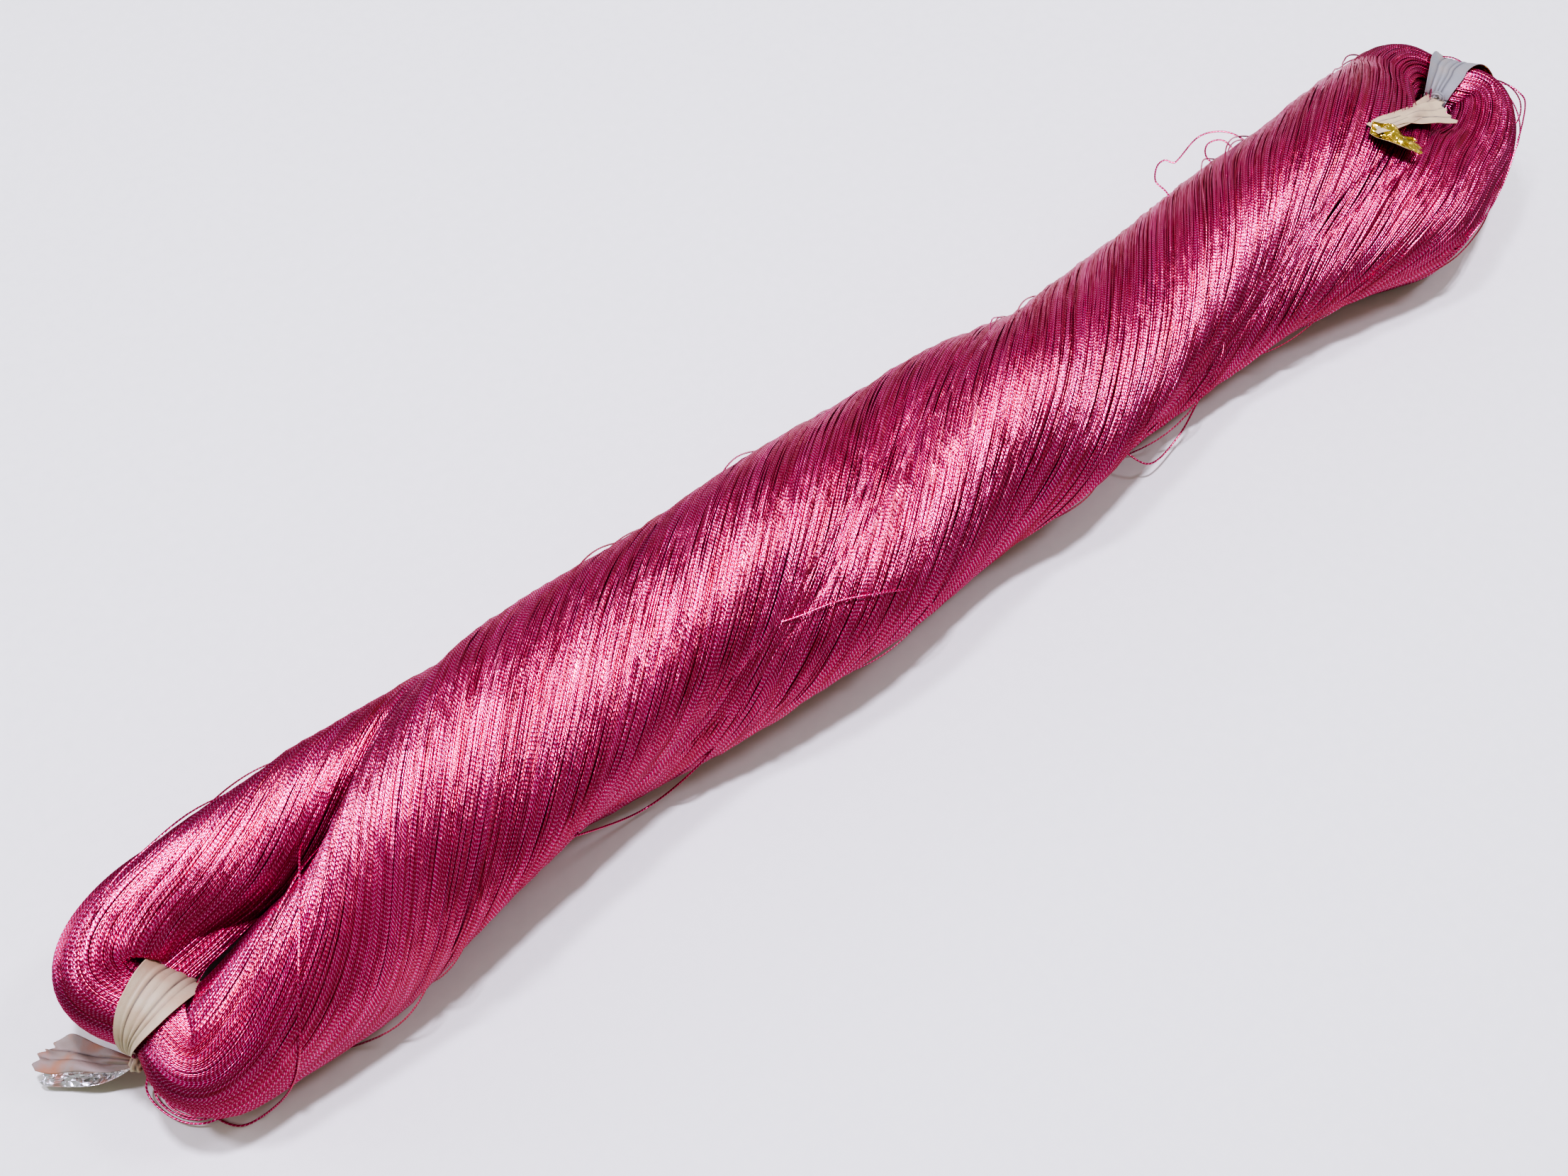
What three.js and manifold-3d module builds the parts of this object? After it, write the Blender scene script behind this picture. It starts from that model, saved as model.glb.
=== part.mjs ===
// A twisted hank of metallic thread lying on a table: one thick skein of thread bent into a closed loop,
// its two legs twisted round each other, and a foil-backed paper strip tied round each end of the loop.
// Millimetres. +X runs along the hank towards its far end, +Z is up and the table is at z = 0.
import * as THREE from "three";
import { mergeVertices } from "three/addons/utils/BufferGeometryUtils.js";
import Module from "manifold-3d";

const wasm = await Module();
wasm.setup();
const { clamp, degToRad, lerp } = THREE.MathUtils;

// Colours of the thread and of the paper
const THREAD_PINK = 0xd0417c;
const PAPER_CREAM = 0xdcd4c4;

// The skein's legs at stations along the hank. Each leg is D-shaped: its middle lies "spread" from the
// hank's axis, it reaches "outer" outwards and "inner" inwards from there, and "thick" up and down.
// "square" is how flat the inner side is, "parting" moves the line where the legs meet towards the first
// leg, "twist" turns both legs about the axis, in degrees, and "side" is how far the axis bows to +Y.
const COLUMNS = ["x", "spread", "outer", "inner", "thick", "square", "parting", "twist", "side"];
const STATIONS = [
  [-175, 12.3, 9.8, 10.4, 14.2, 2.3, 2.0, 13, 0.7],
  [-150, 12.3, 9.8, 10.4, 14.2, 2.3, 2.0, 13, 0.7],
  [-140, 11.8, 10.8, 11.6, 15.2, 2.5, 2.2, 8, 0.5],
  [-128, 10.2, 12.2, 9.9, 16.4, 3.0, 2.0, -6, 0.2],
  [-112, 8.0, 13.4, 7.8, 17.4, 4.5, 1.0, -36, 0.8],
  [-92, 6.2, 13.8, 6.0, 18.6, 6.0, 0.0, -66, 2.4],
  [-75, 5.6, 13.6, 5.4, 18.4, 6.0, 0.0, -88, 2.4],
  [-55, 5.5, 14.2, 5.3, 18.4, 6.0, 0.0, -117, 0.6],
  [-28, 5.5, 16.0, 5.3, 18.6, 6.0, 0.0, -154, -0.2],
  [5, 5.5, 14.0, 5.3, 17.4, 6.0, 0.0, -196, 1.2],
  [24, 5.5, 14.8, 5.3, 19.2, 6.0, 0.0, -225, -1.4],
  [38, 5.5, 13.4, 5.3, 18.2, 6.0, 0.0, -247, 0.0],
  [52, 5.5, 11.4, 5.3, 15.6, 6.0, 0.0, -268, 1.0],
  [68, 5.7, 11.4, 5.5, 15.4, 6.0, 0.0, -293, 2.0],
  [90, 6.8, 12.2, 6.6, 15.8, 7.0, 0.0, -316, 2.0],
  [108, 8.4, 12.5, 8.2, 15.8, 7.0, 0.0, -329, 0.4],
  [124, 10.4, 13.0, 10.2, 15.6, 6.5, 0.0, -340, -0.6],
  [134, 11.4, 11.8, 11.1, 15.0, 5.0, 0.0, -347, 0.6],
  [141, 11.8, 10.4, 8.8, 14.6, 3.0, 0.0, -352, 2.2],
  [170, 11.8, 10.4, 8.8, 14.6, 3.0, 0.0, -354, 8.0],
];
const OUTER_ROUNDNESS = 2.2; // exponent of the superellipse on a leg's outer side
const SETTLE = 1.6; // how deep the hank squashes flat where it lies on the table
const KINK = 0.12; // smooths the change from one leg to the other underneath

// The end loops. The centre line of the skein goes round from leg to leg, "reach" past "start". The tie,
// at the angle "tied" round the loop, pulls it back by "notch" and squeezes it to a waist.
const NEAR = {
  end: -1,
  start: 150,
  reach: 15.8,
  lean: -0.15,
  tied: 1.28,
  notch: 3.6,
  waist: 7.4,
  waistThick: 11.0,
};
const FAR = {
  end: 1,
  start: 141,
  reach: 16.4,
  lean: -0.2,
  tied: 1.45,
  notch: 3.4,
  waist: 7.4,
  waistThick: 11.0,
};
const PINCH = degToRad(45); // half-angle of the loop over which the tie pinches it

// How finely the skein is divided
const SIDES = 26;
const LEG_STEPS = 56;
const TURN_STEPS = 22;

// The ties. "knot" is the angle of the knot round the skein, in radians from straight outwards, and
// "broad" the angle where the band is widest; opposite the knot the band has moved round the loop by
// "slew". Each strip has rows of x, y, z, width and tilt in degrees, and may end with a zigzag cut.
const NEAR_TIE = {
  loop: NEAR,
  knot: -0.75,
  broad: 1.8,
  slew: -0.2,
  knotOut: 0.9,
  knotSize: [1.7, 2.3, 1.8],
  wide: 7.2,
  narrow: 1.4,
  strips: [
    {
      fromKnot: true,
      cut: true,
      rows: [
        [-173.6, 3.2, 5.4, 4.6, 12],
        [-177.2, 7.4, 4.6, 6.6, 20],
        [-180.6, 11.4, 4.0, 7.0, 24],
      ],
    },
    {
      fromKnot: true,
      cut: true,
      rows: [
        [-174.0, 2.4, 4.0, 3.4, -10],
        [-178.2, 6.4, 2.8, 4.0, -10],
        [-181.6, 9.8, 2.4, 4.2, -10],
      ],
    },
  ],
};
const FAR_TIE = {
  loop: FAR,
  knot: 2.3,
  broad: 0.3,
  slew: 0.1,
  knotOut: 0.9,
  knotSize: [2.0, 1.8, 1.5],
  wide: 8.5,
  narrow: 1.4,
  strips: [
    {
      fromKnot: true,
      cut: true,
      rows: [
        [144.6, 2.0, 27.0, 4.0, 0],
        [143.0, -1.0, 28.0, 5.4, 0],
        [141.8, -4.4, 28.2, 5.8, 0],
      ],
    },
    {
      fromKnot: true,
      cut: false,
      rows: [
        [138.6, 1.8, 30.4, 5.0, 0],
        [129.0, 0.4, 33.8, 5.8, 0],
        [119.4, -0.6, 35.8, 3.6, 0],
      ],
    },
    {
      fromKnot: false,
      cut: true,
      rows: [
        [119.0, -0.4, 35.8, 3.0, 0],
        [120.8, -3.2, 34.6, 4.6, 0],
        [123.6, -5.6, 33.2, 5.2, 0],
        [127.0, -7.6, 31.4, 5.0, 0],
      ],
    },
  ],
};
const STRIP_COLUMNS = ["x", "y", "z", "width", "tilt"];
const PAPER = 1.0; // thickness of the folded paper
const GAP = 0.4; // between the paper and the thread
const GATHER = 2; // how quickly the band narrows towards its knot
const TOOTH = 1.1; // depth of the zigzag cut
const TEETH = 3;
const BAND_SIDES = 44;
const BAND_ACROSS = 4;
const STRIP_STEPS = 6;
const KNOT_SIDES = 12;
const KNOT_RINGS = 8;

// The smooth value of every column at x: a cubic through the stations, with the slope at each station
// taken from its two neighbours.
function station(x) {
  const last = STATIONS.length - 1;
  const found = STATIONS.findIndex((row) => row[0] > x);
  const high = clamp(found < 0 ? last : found, 1, last);
  const [a, b] = [STATIONS[high - 1], STATIONS[high]];
  const before = STATIONS[Math.max(high - 2, 0)];
  const after = STATIONS[Math.min(high + 1, last)];
  const length = b[0] - a[0];
  const p = clamp((x - a[0]) / length, 0, 1);
  const values = {};
  COLUMNS.forEach((name, i) => {
    const slopeA = ((b[i] - before[i]) / (b[0] - before[0])) * length;
    const slopeB = ((after[i] - a[i]) / (after[0] - a[0])) * length;
    const curve = (2 * p ** 3 - 3 * p ** 2 + 1) * a[i] + (3 * p ** 2 - 2 * p ** 3) * b[i];
    values[name] = curve + (p ** 3 - 2 * p ** 2 + p) * slopeA + (p ** 3 - p ** 2) * slopeB;
  });
  return values;
}

// From the flat, untwisted loop (x along, w across, t up) to its place on the table: turned about the
// axis by the twist at x, and raised so that the lower leg settles on the table.
function twisted(x, w, t) {
  const s = station(x);
  const angle = degToRad(s.twist);
  const [cos, sin] = [Math.cos(angle), Math.sin(angle)];
  const under = s.spread * (Math.hypot(sin, KINK) - KINK) + Math.hypot(s.outer * sin, s.thick * cos);
  const across = w + s.parting * Math.max(0, 1 - (w / (s.spread + s.outer)) ** 2);
  const y = s.side + across * cos - t * sin;
  return new THREE.Vector3(x, y, under - SETTLE + across * sin + t * cos);
}

// A point of a leg's section at the angle u round it: n outwards, t up. The lift is measured outwards.
function outline(u, { outer, inner, thick, square }, lift = 0) {
  const [cos, sin] = [Math.cos(u), Math.sin(u)];
  const power = 2 / (cos > 0 ? OUTER_ROUNDNESS : square);
  const n = Math.sign(cos) * Math.abs(cos) ** power * ((cos > 0 ? outer : inner) + lift);
  const t = Math.sign(sin) * Math.abs(sin) ** power * (thick + lift);
  return [n, t];
}

// A point on one of the two straight legs, "hand" +1 or -1
function legPoint(hand, x, u) {
  const s = station(x);
  const [n, t] = outline(u, s);
  return twisted(x, hand * (s.spread + n), t);
}

// The centre line of an end loop at the angle psi round it, from one leg to the other
function loopCentre(loop, psi, spread) {
  const w = loop.end * spread * Math.cos(psi);
  const past = loop.reach * Math.sin(psi) - loop.notch * pinch(loop, psi);
  return [loop.end * (loop.start + past) + loop.lean * w * Math.sin(psi), w];
}

function pinch(loop, psi) {
  return Math.exp(-(((psi - loop.tied) / PINCH) ** 2));
}

// A point on an end loop: the section at psi, carried square to the centre line and squeezed by the tie
function loopPoint(loop, psi, u, lift = 0) {
  const s = station(loop.end * loop.start);
  const small = 1e-3;
  const [x, w] = loopCentre(loop, psi, s.spread);
  const [xa, wa] = loopCentre(loop, psi - small, s.spread);
  const [xb, wb] = loopCentre(loop, psi + small, s.spread);
  const length = Math.hypot(xb - xa, wb - wa);
  const normal = [-(wb - wa) / length, (xb - xa) / length];
  const squeeze = pinch(loop, psi);
  const section = {
    outer: lerp(s.outer, loop.waist, squeeze),
    inner: lerp(s.inner, loop.waist, squeeze),
    thick: lerp(s.thick, loop.waistThick, squeeze),
    square: s.square,
  };
  const [n, t] = outline(u, section, lift);
  return twisted(x + n * normal[0], w + n * normal[1], t);
}

// A closed mesh from rings of points: each ring is joined to the next, and the last to the first
function torus(rings) {
  const sides = rings[0].length;
  const positions = rings.flat().flatMap((p) => p.toArray());
  const index = [];
  rings.forEach((_, i) => {
    const here = i * sides;
    const next = ((i + 1) % rings.length) * sides;
    for (let j = 0; j < sides; j++) {
      const k = (j + 1) % sides;
      index.push(here + j, here + k, next + j, here + k, next + k, next + j);
    }
  });
  return indexed(positions, index);
}

function indexed(positions, index) {
  const geometry = new THREE.BufferGeometry();
  geometry.setAttribute("position", new THREE.Float32BufferAttribute(positions, 3));
  geometry.setIndex(index);
  return geometry;
}

const round = (count, point) => Array.from({ length: count }, (_, j) => point((2 * Math.PI * j) / count));
const steps = (count, from, to) => Array.from({ length: count }, (_, i) => lerp(from, to, i / count));

// The skein: along one leg, round the far loop, back along the other leg and round the near loop
function hankGeometry() {
  const along = steps(LEG_STEPS, -NEAR.start, FAR.start);
  const back = steps(LEG_STEPS, FAR.start, -NEAR.start);
  const turn = steps(TURN_STEPS, 0, Math.PI);
  const rings = [
    ...along.map((x) => round(SIDES, (u) => legPoint(1, x, u))),
    ...turn.map((psi) => round(SIDES, (u) => loopPoint(FAR, psi, u))),
    ...back.map((x) => round(SIDES, (u) => legPoint(-1, x, u))),
    ...turn.map((psi) => round(SIDES, (u) => loopPoint(NEAR, psi, u))),
  ];
  rings.flat().forEach((p) => (p.z = Math.max(p.z, 0)));
  return torus(rings);
}

// The angle round a loop at which its surface is "far" from the place at the angle "from"
function angleAway(loop, from, u, far) {
  const start = loopPoint(loop, from, u);
  const step = 0.02 * Math.sign(far);
  let angle = from;
  while (loopPoint(loop, angle, u).distanceTo(start) < Math.abs(far)) angle += step;
  return angle;
}

// The band of a tie: a ring of paper round the waist of a loop, gathered to its narrow width away from
// where it is broad
function bandGeometry({ loop, knot, broad, slew, wide, narrow }) {
  const across = steps(BAND_ACROSS, 0, 1).concat(1);
  const rings = round(BAND_SIDES, (u) => {
    const middle = loop.tied + slew * (0.5 - 0.5 * Math.cos(u - knot));
    const width = lerp(narrow, wide, (0.5 + 0.5 * Math.cos(u - broad)) ** GATHER);
    const low = angleAway(loop, middle, u, -width / 2);
    const high = angleAway(loop, middle, u, width / 2);
    const at = (v, lift) => loopPoint(loop, lerp(low, high, v), u, lift);
    return [...across.map((v) => at(v, GAP)), ...across.toReversed().map((v) => at(v, GAP + PAPER))];
  });
  return torus(rings);
}

// A strip's width or tilt part of the way along its rows
function column(rows, name, along) {
  const c = STRIP_COLUMNS.indexOf(name);
  const place = along * (rows.length - 1);
  const low = Math.min(Math.floor(place), rows.length - 2);
  return lerp(rows[low][c], rows[low + 1][c], place - low);
}

// A strip of paper along a curve through its rows, level across but for the row's tilt. A cut end has
// a zigzag.
function stripGeometry(rows, cut) {
  const curve = new THREE.CatmullRomCurve3(rows.map(([x, y, z]) => new THREE.Vector3(x, y, z)));
  const up = new THREE.Vector3(0, 0, 1);
  const edge = Array.from({ length: 2 * TEETH + 1 }, (_, j) => j);
  const sections = steps(STRIP_STEPS, 0, 1).concat(1).map((along) => {
    const tangent = curve.getTangent(along);
    const side = new THREE.Vector3().crossVectors(up, tangent).normalize();
    side.applyAxisAngle(tangent, degToRad(column(rows, "tilt", along)));
    const face = new THREE.Vector3().crossVectors(tangent, side);
    const width = column(rows, "width", along);
    const at = (j, lift) => {
      const point = curve.getPoint(along).addScaledVector(side, (j / (2 * TEETH) - 0.5) * width);
      if (cut && along === 1 && j % 2) point.addScaledVector(tangent, -TOOTH);
      return point.addScaledVector(face, lift);
    };
    const under = edge.map((j) => at(j, -PAPER / 2));
    const over = edge.toReversed().map((j) => at(j, PAPER / 2));
    return [...under, ...over];
  });
  return capped(sections);
}

// A closed mesh from rings of points whose first and last ring are each filled across
function capped(rings) {
  const sides = rings[0].length;
  const positions = rings.flat().flatMap((p) => p.toArray());
  const index = [];
  for (let i = 0; i + 1 < rings.length; i++)
    for (let j = 0; j < sides; j++) {
      const [a, b] = [i * sides + j, i * sides + ((j + 1) % sides)];
      index.push(a, b, a + sides, b, b + sides, a + sides);
    }
  const end = (rings.length - 1) * sides;
  for (let j = 0; j + 1 < sides / 2; j++) {
    const k = sides - 1 - j;
    index.push(j, k, j + 1, k, k - 1, j + 1);
    index.push(end + j, end + j + 1, end + k, end + k, end + j + 1, end + k - 1);
  }
  return indexed(positions, index);
}

// A mesh as a solid that can be joined to others
function solid(geometry) {
  const bare = geometry.clone();
  bare.deleteAttribute("normal");
  bare.deleteAttribute("uv");
  const merged = mergeVertices(bare, 1e-4);
  const triVerts = new Uint32Array(merged.index.array);
  const mesh = { numProp: 3, vertProperties: merged.attributes.position.array, triVerts };
  return new wasm.Manifold(new wasm.Mesh(mesh));
}

function joined(geometries) {
  const { vertProperties, triVerts } = geometries.map(solid).reduce((a, b) => a.add(b)).getMesh();
  return indexed(Array.from(vertProperties), Array.from(triVerts));
}

// A tie: its band, its knot and its free ends, joined
function tieGeometry(tie) {
  const seat = loopPoint(tie.loop, tie.loop.tied, tie.knot, GAP + PAPER + tie.knotOut);
  const knot = new THREE.SphereGeometry(1, KNOT_SIDES, KNOT_RINGS).scale(...tie.knotSize);
  knot.translate(seat.x, seat.y, seat.z);
  const root = [...seat.toArray(), tie.narrow, 0];
  const strips = tie.strips.map(({ fromKnot, cut, rows }) => {
    return stripGeometry(fromKnot ? [root, ...rows] : rows, cut);
  });
  return joined([bandGeometry(tie), knot, ...strips]);
}

const material = (color, roughness, metalness) =>
  new THREE.MeshStandardMaterial({ color, roughness, metalness });

function named(name, geometry, look) {
  const mesh = new THREE.Mesh(geometry, look);
  mesh.name = name;
  return mesh;
}

const part = new THREE.Group();
part.add(named("hank", hankGeometry(), material(THREAD_PINK, 0.3, 0.9)));
part.add(named("near_tie", tieGeometry(NEAR_TIE), material(PAPER_CREAM, 0.7, 0)));
part.add(named("far_tie", tieGeometry(FAR_TIE), material(PAPER_CREAM, 0.7, 0)));

// The middle of the part's base is the origin
const middle = new THREE.Box3().setFromObject(part).getCenter(new THREE.Vector3());
part.position.set(-middle.x, -middle.y, 0);

export default part;
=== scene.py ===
# %% [markdown]
# # A twisted hank of metallic thread
# A hank is one long thread wound into a skein, a big soft ring, and the ring is then twisted until it
# folds up like a rope with an eye at each end. This one is of bright pink foil-wrapped thread, and a
# strip of foil-backed paper is tied round each end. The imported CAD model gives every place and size.
# This lesson dresses it with single threads, crinkled paper and metallic finishes.

# %% The frame
import math

import bpy
import numpy as np
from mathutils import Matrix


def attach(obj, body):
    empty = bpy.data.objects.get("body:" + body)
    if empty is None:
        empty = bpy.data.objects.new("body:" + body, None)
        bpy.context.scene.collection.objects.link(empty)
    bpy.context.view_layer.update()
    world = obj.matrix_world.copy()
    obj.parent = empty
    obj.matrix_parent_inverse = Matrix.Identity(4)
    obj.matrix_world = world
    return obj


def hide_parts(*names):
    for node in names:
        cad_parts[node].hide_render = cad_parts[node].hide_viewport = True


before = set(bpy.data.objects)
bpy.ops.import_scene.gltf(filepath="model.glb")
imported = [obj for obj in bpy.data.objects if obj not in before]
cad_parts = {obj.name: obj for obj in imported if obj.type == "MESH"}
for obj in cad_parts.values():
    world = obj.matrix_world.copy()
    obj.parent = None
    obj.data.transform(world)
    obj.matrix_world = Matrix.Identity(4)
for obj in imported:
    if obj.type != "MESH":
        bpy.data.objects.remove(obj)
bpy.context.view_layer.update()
scene = bpy.context.scene
MM = 0.001  # lengths below are in millimetres, and Blender's are in metres

# %% [markdown]
# ## The camera
# The hank is seen from above its near end, looking down by 60 degrees. A camera could be placed by eye,
# but a focal length in pixels turns straight into a lens, so the solved view is simply written down.

# %% The camera
PHOTO_WIDE, FOCUS, SENSOR = 2212, 2200, 36  # image width and focal length in pixels, sensor in mm
CAMERA_AT = (-114.53, -112.74, 261.6)
TIP, HEADING = 30, -38.44  # degrees up from straight down, and round from the y axis

camera = bpy.data.objects.new("camera", bpy.data.cameras.new("camera"))
camera.data.sensor_width = SENSOR
camera.data.lens = SENSOR * FOCUS / PHOTO_WIDE
camera.data.clip_start = 0.01
camera.location = [v * MM for v in CAMERA_AT]
camera.rotation_euler = (math.radians(TIP), 0, math.radians(HEADING))
scene.collection.objects.link(camera)
scene.camera = camera
print(f"lens {camera.data.lens:.1f} mm")

# %% [markdown]
# ## Helpers for meshes and nodes
# Every piece below is a grid of points worked out with numpy. Blender could build it one vertex at a
# time, but foreach_set takes whole arrays, which is far quicker for hundreds of threads.

# %% A mesh from arrays
def put_mesh(name, points, quads, uv=None, attributes=None, normals=None, smooth=True):
    """An object from points (n, 3) in mm and quads (m, 4), with a UV pair for each quad corner, one
    number a point for each named attribute, and the points' own normals where they are given."""
    mesh = bpy.data.meshes.new(name)
    mesh.vertices.add(len(points))
    mesh.vertices.foreach_set("co", (points * MM).astype(np.float32).ravel())
    mesh.loops.add(quads.size)
    mesh.loops.foreach_set("vertex_index", quads.astype(np.int32).ravel())
    mesh.polygons.add(len(quads))
    mesh.polygons.foreach_set("loop_start", np.arange(0, quads.size, 4, dtype=np.int32))
    mesh.polygons.foreach_set("use_smooth", np.full(len(quads), smooth))
    if uv is not None:
        mesh.uv_layers.new(name="UVMap").uv.foreach_set("vector", uv.astype(np.float32).ravel())
    for key, values in (attributes or {}).items():
        layer = mesh.attributes.new(key, "FLOAT", "POINT")
        layer.data.foreach_set("value", values.astype(np.float32).ravel())
    mesh.update(calc_edges=True)
    if normals is not None:
        mesh.normals_split_custom_set_from_vertices(normals)
    piece = bpy.data.objects.new(name, mesh)
    scene.collection.objects.link(piece)
    return piece


def grid_quads(rows, columns, around=False):
    """The quads of a grid of points, rows by columns, numbered row by row. Around joins the last
    column to the first."""
    i = np.arange(rows - 1)[:, None] * columns
    j = np.arange(columns if around else columns - 1)[None, :]
    k = (j + 1) % columns
    return np.stack([i + j, i + k, i + columns + k, i + columns + j], -1).reshape(-1, 4)


# %% Lengths, directions and curves
def lengths(lines):
    """How far along its line each point is: the distances from point to point, added up."""
    steps = np.diff(lines, axis=-2, prepend=lines[..., :1, :])
    return np.cumsum(np.linalg.norm(steps, axis=-1), -1)


def unit(vectors):
    """Vectors made one long."""
    return vectors / np.maximum(np.linalg.norm(vectors, axis=-1, keepdims=True), 1e-9)


def cubic(p, a, b, slope_a, slope_b):
    """From a to b as p goes from 0 to 1, by the cubic that has these slopes at its two ends."""
    value = (2 * p**3 - 3 * p**2 + 1) * a + (3 * p**2 - 2 * p**3) * b
    return value + (p**3 - 2 * p**2 + p) * slope_a + (p**3 - p**2) * slope_b


# %% A node with its inputs
def put(tree, kind, inputs=None, **settings):
    """Adds a node, gives it its settings, and links or sets each of its inputs."""
    made = tree.nodes.new(kind)
    for key, value in settings.items():
        setattr(made, key, value)
    for key, value in (inputs or {}).items():
        if isinstance(value, bpy.types.NodeSocket):
            tree.links.new(value, made.inputs[key])
        else:
            made.inputs[key].default_value = value
    return made


def math_node(tree, operation, *values):
    """The result of one sum on sockets or numbers."""
    return put(tree, "ShaderNodeMath", dict(enumerate(values)), operation=operation).outputs[0]


def attribute(tree, name):
    """A mesh's own number at each point."""
    return put(tree, "ShaderNodeAttribute", attribute_name=name).outputs["Fac"]


def noise(tree, place, scale, detail):
    """Soft noise from 0 to 1 over places: the larger the scale, the smaller its grain."""
    inputs = {"Vector": place, "Scale": scale, "Detail": detail}
    return put(tree, "ShaderNodeTexNoise", inputs).outputs["Fac"]


def ranged(tree, value, start=(0.0, 1.0), end=(0.0, 1.0)):
    """A value moved from one range to another in proportion, and kept inside it."""
    limits = dict(zip(("From Min", "From Max", "To Min", "To Max"), (*start, *end)))
    return put(tree, "ShaderNodeMapRange", {"Value": value, **limits}).outputs[0]


def mixed_colour(tree, factor, a, b):
    """The colour a where the factor is 0, b where it is 1, and in proportion between."""
    inputs = {"Factor": factor, "A": a, "B": b}
    return put(tree, "ShaderNodeMix", inputs, data_type="RGBA").outputs["Result"]


def bumped(tree, height, strength, distance):
    """A normal that leans by the slope of a height."""
    inputs = {"Height": height, "Strength": strength, "Distance": distance}
    return put(tree, "ShaderNodeBump", inputs).outputs[0]


# %% A material and its output
def new_material(name):
    """A material with no nodes yet, and its node tree."""
    material = bpy.data.materials.new(name)
    material.use_nodes = True
    material.node_tree.nodes.clear()
    return material, material.node_tree


def finish_material(tree, inputs):
    """Gives a material its shader, with these inputs, and joins it to the output."""
    shader = put(tree, "ShaderNodeBsdfPrincipled", inputs)
    put(tree, "ShaderNodeOutputMaterial", {"Surface": shader.outputs[0]})


# %% [markdown]
# ## Floor and light
# The hank lies on a white laminate table in soft light from above and from one side. Metal shows what it
# mirrors, so the lamps' places matter more than any colour: each lamp gives the threads one long streak
# along the hank, and a dim room round them leaves the other threads deep pink. A picture of a room could
# light it too, but lamps can be moved one by one until each streak lies where it should.

# %% The table
TABLE_SIZE = 3000

corner = np.array([[-1, -1, 0], [1, -1, 0], [1, 1, 0], [-1, 1, 0]]) * TABLE_SIZE / 2
table = put_mesh("table", corner, np.array([[0, 1, 2, 3]]), smooth=False)

white_table, tree = new_material("white laminate")
place = put(tree, "ShaderNodeTexCoord").outputs["Object"]
speck = noise(tree, place, 420.0, 3.0)
finish_material(tree, {
    "Base Color": mixed_colour(tree, speck, (0.68, 0.70, 0.56, 1), (0.73, 0.75, 0.60, 1)),
    "Roughness": ranged(tree, speck, end=(0.5, 0.65)),
    "Normal": bumped(tree, speck, 0.08, 0.0003),
    "Specular IOR Level": 0.3,
})
table.data.materials.append(white_table)
print(f"a table {TABLE_SIZE} mm wide")

# %% The lamps
LAMPS = [  # name, direction round from the hank's far end and height in degrees, width in mm, watts
    ("key_lamp", 20, 83, 80, 8.3),
    ("left_lamp", 135, 70, 110, 3.7),
    ("far_lamp", 335, 56, 150, 2.1),
    ("side_window", 135, 20, 500, 2.2),
]
LAMP_AWAY, DAYLIGHT = 1100, (0.96, 0.90, 1.38)  # mm from the hank, and the lamps' colour


def soft_lamp(name, turn, height, size, power):
    """A square area lamp in a direction from the origin, facing it."""
    lamp = bpy.data.objects.new(name, bpy.data.lights.new(name, "AREA"))
    lamp.data.shape = "SQUARE"
    lamp.data.size = size * MM
    lamp.data.energy, lamp.data.color = power, DAYLIGHT
    turn, height = math.radians(turn), math.radians(height)
    level = math.cos(height)
    towards = np.array([level * math.cos(turn), level * math.sin(turn), math.sin(height)])
    lamp.location = towards * LAMP_AWAY * MM
    lamp.rotation_euler = lamp.location.to_track_quat("Z", "Y").to_euler()
    scene.collection.objects.link(lamp)


for lamp in LAMPS:
    soft_lamp(*lamp)

world = bpy.data.worlds.new("dim_room")
world.use_nodes = True
world.node_tree.nodes["Background"].inputs["Color"].default_value = (0.37, 0.37, 0.38, 1)
scene.world = world
scene.view_settings.view_transform, scene.view_settings.look = "AgX", "AgX - Very High Contrast"
print(len(LAMPS), "lamps and a dim room")

# %% [markdown]
# ## The skein's form
# The CAD solid is a thick ring of thread bent into two legs that are twisted round each other. Threads
# could be pressed onto its mesh, but a formula also gives their directions. So the solid's formula is
# written here again, in whole arrays: stations along the hank give each leg's D-shaped section and twist.

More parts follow.
